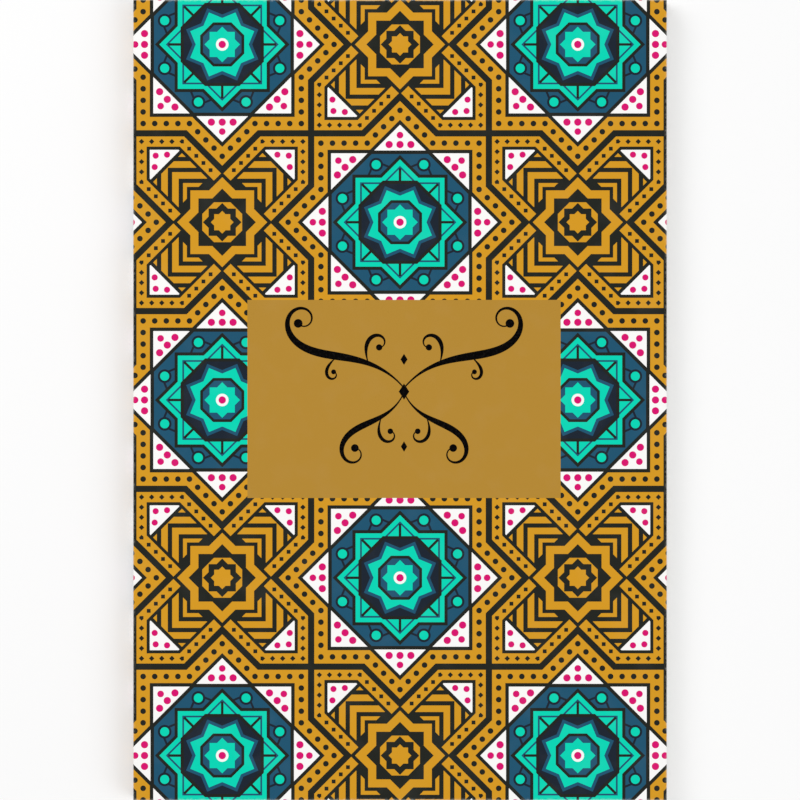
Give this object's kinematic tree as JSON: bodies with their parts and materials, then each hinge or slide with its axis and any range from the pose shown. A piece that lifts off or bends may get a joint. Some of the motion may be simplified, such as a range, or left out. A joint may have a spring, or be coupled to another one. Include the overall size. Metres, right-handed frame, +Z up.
{
  "type": "address book",
  "caption": "Softcover address book with a patterned card cover, a plain label panel, a glued spine and lettered groups of leaves that fan as it opens flat.",
  "frame": {"origin": "centre of the closed book's footprint, on the surface that its back cover lies on", "axes": "+X from the spine to the fore edge, +Y from the tail to the head, +Z up through the thickness and out of the front cover"},
  "size_m": [0.1524, 0.2286, 0.007],
  "materials": {
    "cover_card": "matte laminate over print",
    "page_paper": "uncoated",
    "binding_glue": "hot-melt, satin"
  },
  "bodies": {
    "back_hinge": {"back_hinge_strip": "cover_card", "back_side_glue": "binding_glue", "end_leaf": "page_paper"},
    "back_cover": {"back_cover": "cover_card"},
    "spine": {"spine_cover": "cover_card", "spine_glue": "binding_glue"},
    "front_hinge": {"front_hinge_strip": "cover_card", "front_side_glue": "binding_glue", "owner_leaf": "page_paper"},
    "front_cover": {"front_cover": "cover_card"},
    "leaves_a": {"leaves_a": "page_paper"},
    "leaves_b": {"leaves_b": "page_paper"},
    "leaves_c": {"leaves_c": "page_paper"},
    "leaves_d": {"leaves_d": "page_paper"},
    "leaves_e": {"leaves_e": "page_paper"},
    "leaves_f": {"leaves_f": "page_paper"},
    "leaves_g": {"leaves_g": "page_paper"},
    "leaves_h": {"leaves_h": "page_paper"},
    "leaves_i": {"leaves_i": "page_paper"},
    "leaves_j": {"leaves_j": "page_paper"},
    "leaves_k": {"leaves_k": "page_paper"},
    "leaves_l": {"leaves_l": "page_paper"},
    "leaves_m": {"leaves_m": "page_paper"},
    "leaves_n": {"leaves_n": "page_paper"},
    "leaves_o": {"leaves_o": "page_paper"},
    "leaves_p": {"leaves_p": "page_paper"},
    "leaves_q": {"leaves_q": "page_paper"},
    "leaves_r": {"leaves_r": "page_paper"},
    "leaves_s": {"leaves_s": "page_paper"},
    "leaves_t": {"leaves_t": "page_paper"},
    "leaves_u": {"leaves_u": "page_paper"},
    "leaves_v": {"leaves_v": "page_paper"},
    "leaves_w": {"leaves_w": "page_paper"},
    "leaves_x": {"leaves_x": "page_paper"},
    "leaves_y": {"leaves_y": "page_paper"},
    "leaves_z": {"leaves_z": "page_paper"},
    "notes_leaves": {"notes_leaves": "page_paper"}
  },
  "joints": [
    {"name": "back_cover_hinge", "type": "hinge", "parent": "back_hinge", "child": "back_cover", "pos_m": [-0.0697, 0, -0.00018], "axis": [0, -1, 0], "range_deg": [-180, 0]},
    {"name": "spine_fold", "type": "hinge", "parent": "back_hinge", "child": "spine", "pos_m": [-0.0762, 0, 0], "axis": [0, -1, 0], "range_deg": [0, 90]},
    {"name": "front_fold", "type": "hinge", "parent": "spine", "child": "front_hinge", "pos_m": [-0.0762, 0, 0.00704], "axis": [0, -1, 0], "range_deg": [0, 90]},
    {"name": "front_cover_hinge", "type": "hinge", "parent": "front_hinge", "child": "front_cover", "pos_m": [-0.0697, 0, 0.00706], "axis": [0, 1, 0], "range_deg": [-180, 0]},
    {"name": "leaves_a_turn", "type": "hinge", "parent": "spine", "child": "leaves_a", "pos_m": [-0.07543, 0, 0.00649], "axis": [0, -1, 0], "range_deg": [0, 80]},
    {"name": "leaves_b_turn", "type": "hinge", "parent": "spine", "child": "leaves_b", "pos_m": [-0.07543, 0, 0.00627], "axis": [0, -1, 0], "range_deg": [0, 78]},
    {"name": "leaves_c_turn", "type": "hinge", "parent": "spine", "child": "leaves_c", "pos_m": [-0.07543, 0, 0.00604], "axis": [0, -1, 0], "range_deg": [0, 76]},
    {"name": "leaves_d_turn", "type": "hinge", "parent": "spine", "child": "leaves_d", "pos_m": [-0.07543, 0, 0.00581], "axis": [0, -1, 0], "range_deg": [0, 74]},
    {"name": "leaves_e_turn", "type": "hinge", "parent": "spine", "child": "leaves_e", "pos_m": [-0.07543, 0, 0.00558], "axis": [0, -1, 0], "range_deg": [0, 72]},
    {"name": "leaves_f_turn", "type": "hinge", "parent": "spine", "child": "leaves_f", "pos_m": [-0.07543, 0, 0.00535], "axis": [0, -1, 0], "range_deg": [0, 70]},
    {"name": "leaves_g_turn", "type": "hinge", "parent": "spine", "child": "leaves_g", "pos_m": [-0.07543, 0, 0.00512], "axis": [0, -1, 0], "range_deg": [0, 68]},
    {"name": "leaves_h_turn", "type": "hinge", "parent": "spine", "child": "leaves_h", "pos_m": [-0.07543, 0, 0.00489], "axis": [0, -1, 0], "range_deg": [0, 66]},
    {"name": "leaves_i_turn", "type": "hinge", "parent": "spine", "child": "leaves_i", "pos_m": [-0.07543, 0, 0.00466], "axis": [0, -1, 0], "range_deg": [0, 64]},
    {"name": "leaves_j_turn", "type": "hinge", "parent": "spine", "child": "leaves_j", "pos_m": [-0.07543, 0, 0.00444], "axis": [0, -1, 0], "range_deg": [0, 62]},
    {"name": "leaves_k_turn", "type": "hinge", "parent": "spine", "child": "leaves_k", "pos_m": [-0.07543, 0, 0.00421], "axis": [0, -1, 0], "range_deg": [0, 60]},
    {"name": "leaves_l_turn", "type": "hinge", "parent": "spine", "child": "leaves_l", "pos_m": [-0.07543, 0, 0.00398], "axis": [0, -1, 0], "range_deg": [0, 58]},
    {"name": "leaves_m_turn", "type": "hinge", "parent": "spine", "child": "leaves_m", "pos_m": [-0.07543, 0, 0.00375], "axis": [0, -1, 0], "range_deg": [0, 56]},
    {"name": "leaves_n_turn", "type": "hinge", "parent": "spine", "child": "leaves_n", "pos_m": [-0.07543, 0, 0.00352], "axis": [0, -1, 0], "range_deg": [-56, 0]},
    {"name": "leaves_o_turn", "type": "hinge", "parent": "spine", "child": "leaves_o", "pos_m": [-0.07543, 0, 0.00329], "axis": [0, -1, 0], "range_deg": [-58, 0]},
    {"name": "leaves_p_turn", "type": "hinge", "parent": "spine", "child": "leaves_p", "pos_m": [-0.07543, 0, 0.00306], "axis": [0, -1, 0], "range_deg": [-60, 0]},
    {"name": "leaves_q_turn", "type": "hinge", "parent": "spine", "child": "leaves_q", "pos_m": [-0.07543, 0, 0.00283], "axis": [0, -1, 0], "range_deg": [-62, 0]},
    {"name": "leaves_r_turn", "type": "hinge", "parent": "spine", "child": "leaves_r", "pos_m": [-0.07543, 0, 0.0026], "axis": [0, -1, 0], "range_deg": [-64, 0]},
    {"name": "leaves_s_turn", "type": "hinge", "parent": "spine", "child": "leaves_s", "pos_m": [-0.07543, 0, 0.00238], "axis": [0, -1, 0], "range_deg": [-66, 0]},
    {"name": "leaves_t_turn", "type": "hinge", "parent": "spine", "child": "leaves_t", "pos_m": [-0.07543, 0, 0.00215], "axis": [0, -1, 0], "range_deg": [-68, 0]},
    {"name": "leaves_u_turn", "type": "hinge", "parent": "spine", "child": "leaves_u", "pos_m": [-0.07543, 0, 0.00192], "axis": [0, -1, 0], "range_deg": [-70, 0]},
    {"name": "leaves_v_turn", "type": "hinge", "parent": "spine", "child": "leaves_v", "pos_m": [-0.07543, 0, 0.00169], "axis": [0, -1, 0], "range_deg": [-72, 0]},
    {"name": "leaves_w_turn", "type": "hinge", "parent": "spine", "child": "leaves_w", "pos_m": [-0.07543, 0, 0.00146], "axis": [0, -1, 0], "range_deg": [-74, 0]},
    {"name": "leaves_x_turn", "type": "hinge", "parent": "spine", "child": "leaves_x", "pos_m": [-0.07543, 0, 0.00123], "axis": [0, -1, 0], "range_deg": [-76, 0]},
    {"name": "leaves_y_turn", "type": "hinge", "parent": "spine", "child": "leaves_y", "pos_m": [-0.07543, 0, 0.001], "axis": [0, -1, 0], "range_deg": [-78, 0]},
    {"name": "leaves_z_turn", "type": "hinge", "parent": "spine", "child": "leaves_z", "pos_m": [-0.07543, 0, 0.00077], "axis": [0, -1, 0], "range_deg": [-80, 0]},
    {"name": "notes_leaves_turn", "type": "hinge", "parent": "spine", "child": "notes_leaves", "pos_m": [-0.07543, 0, 0.00055], "axis": [0, -1, 0], "range_deg": [-82, 0]}
  ],
  "couplings": [
    {"joint": "front_fold", "follows": "spine_fold", "ratio": 1},
    {"joint": "leaves_a_turn", "follows": "spine_fold", "ratio": 0.88889},
    {"joint": "leaves_b_turn", "follows": "spine_fold", "ratio": 0.86667},
    {"joint": "leaves_c_turn", "follows": "spine_fold", "ratio": 0.84444},
    {"joint": "leaves_d_turn", "follows": "spine_fold", "ratio": 0.82222},
    {"joint": "leaves_e_turn", "follows": "spine_fold", "ratio": 0.8},
    {"joint": "leaves_f_turn", "follows": "spine_fold", "ratio": 0.77778},
    {"joint": "leaves_g_turn", "follows": "spine_fold", "ratio": 0.75556},
    {"joint": "leaves_h_turn", "follows": "spine_fold", "ratio": 0.73333},
    {"joint": "leaves_i_turn", "follows": "spine_fold", "ratio": 0.71111},
    {"joint": "leaves_j_turn", "follows": "spine_fold", "ratio": 0.68889},
    {"joint": "leaves_k_turn", "follows": "spine_fold", "ratio": 0.66667},
    {"joint": "leaves_l_turn", "follows": "spine_fold", "ratio": 0.64444},
    {"joint": "leaves_m_turn", "follows": "spine_fold", "ratio": 0.62222},
    {"joint": "leaves_n_turn", "follows": "spine_fold", "ratio": -0.62222},
    {"joint": "leaves_o_turn", "follows": "spine_fold", "ratio": -0.64444},
    {"joint": "leaves_p_turn", "follows": "spine_fold", "ratio": -0.66667},
    {"joint": "leaves_q_turn", "follows": "spine_fold", "ratio": -0.68889},
    {"joint": "leaves_r_turn", "follows": "spine_fold", "ratio": -0.71111},
    {"joint": "leaves_s_turn", "follows": "spine_fold", "ratio": -0.73333},
    {"joint": "leaves_t_turn", "follows": "spine_fold", "ratio": -0.75556},
    {"joint": "leaves_u_turn", "follows": "spine_fold", "ratio": -0.77778},
    {"joint": "leaves_v_turn", "follows": "spine_fold", "ratio": -0.8},
    {"joint": "leaves_w_turn", "follows": "spine_fold", "ratio": -0.82222},
    {"joint": "leaves_x_turn", "follows": "spine_fold", "ratio": -0.84444},
    {"joint": "leaves_y_turn", "follows": "spine_fold", "ratio": -0.86667},
    {"joint": "leaves_z_turn", "follows": "spine_fold", "ratio": -0.88889},
    {"joint": "notes_leaves_turn", "follows": "spine_fold", "ratio": -0.91111}
  ]
}
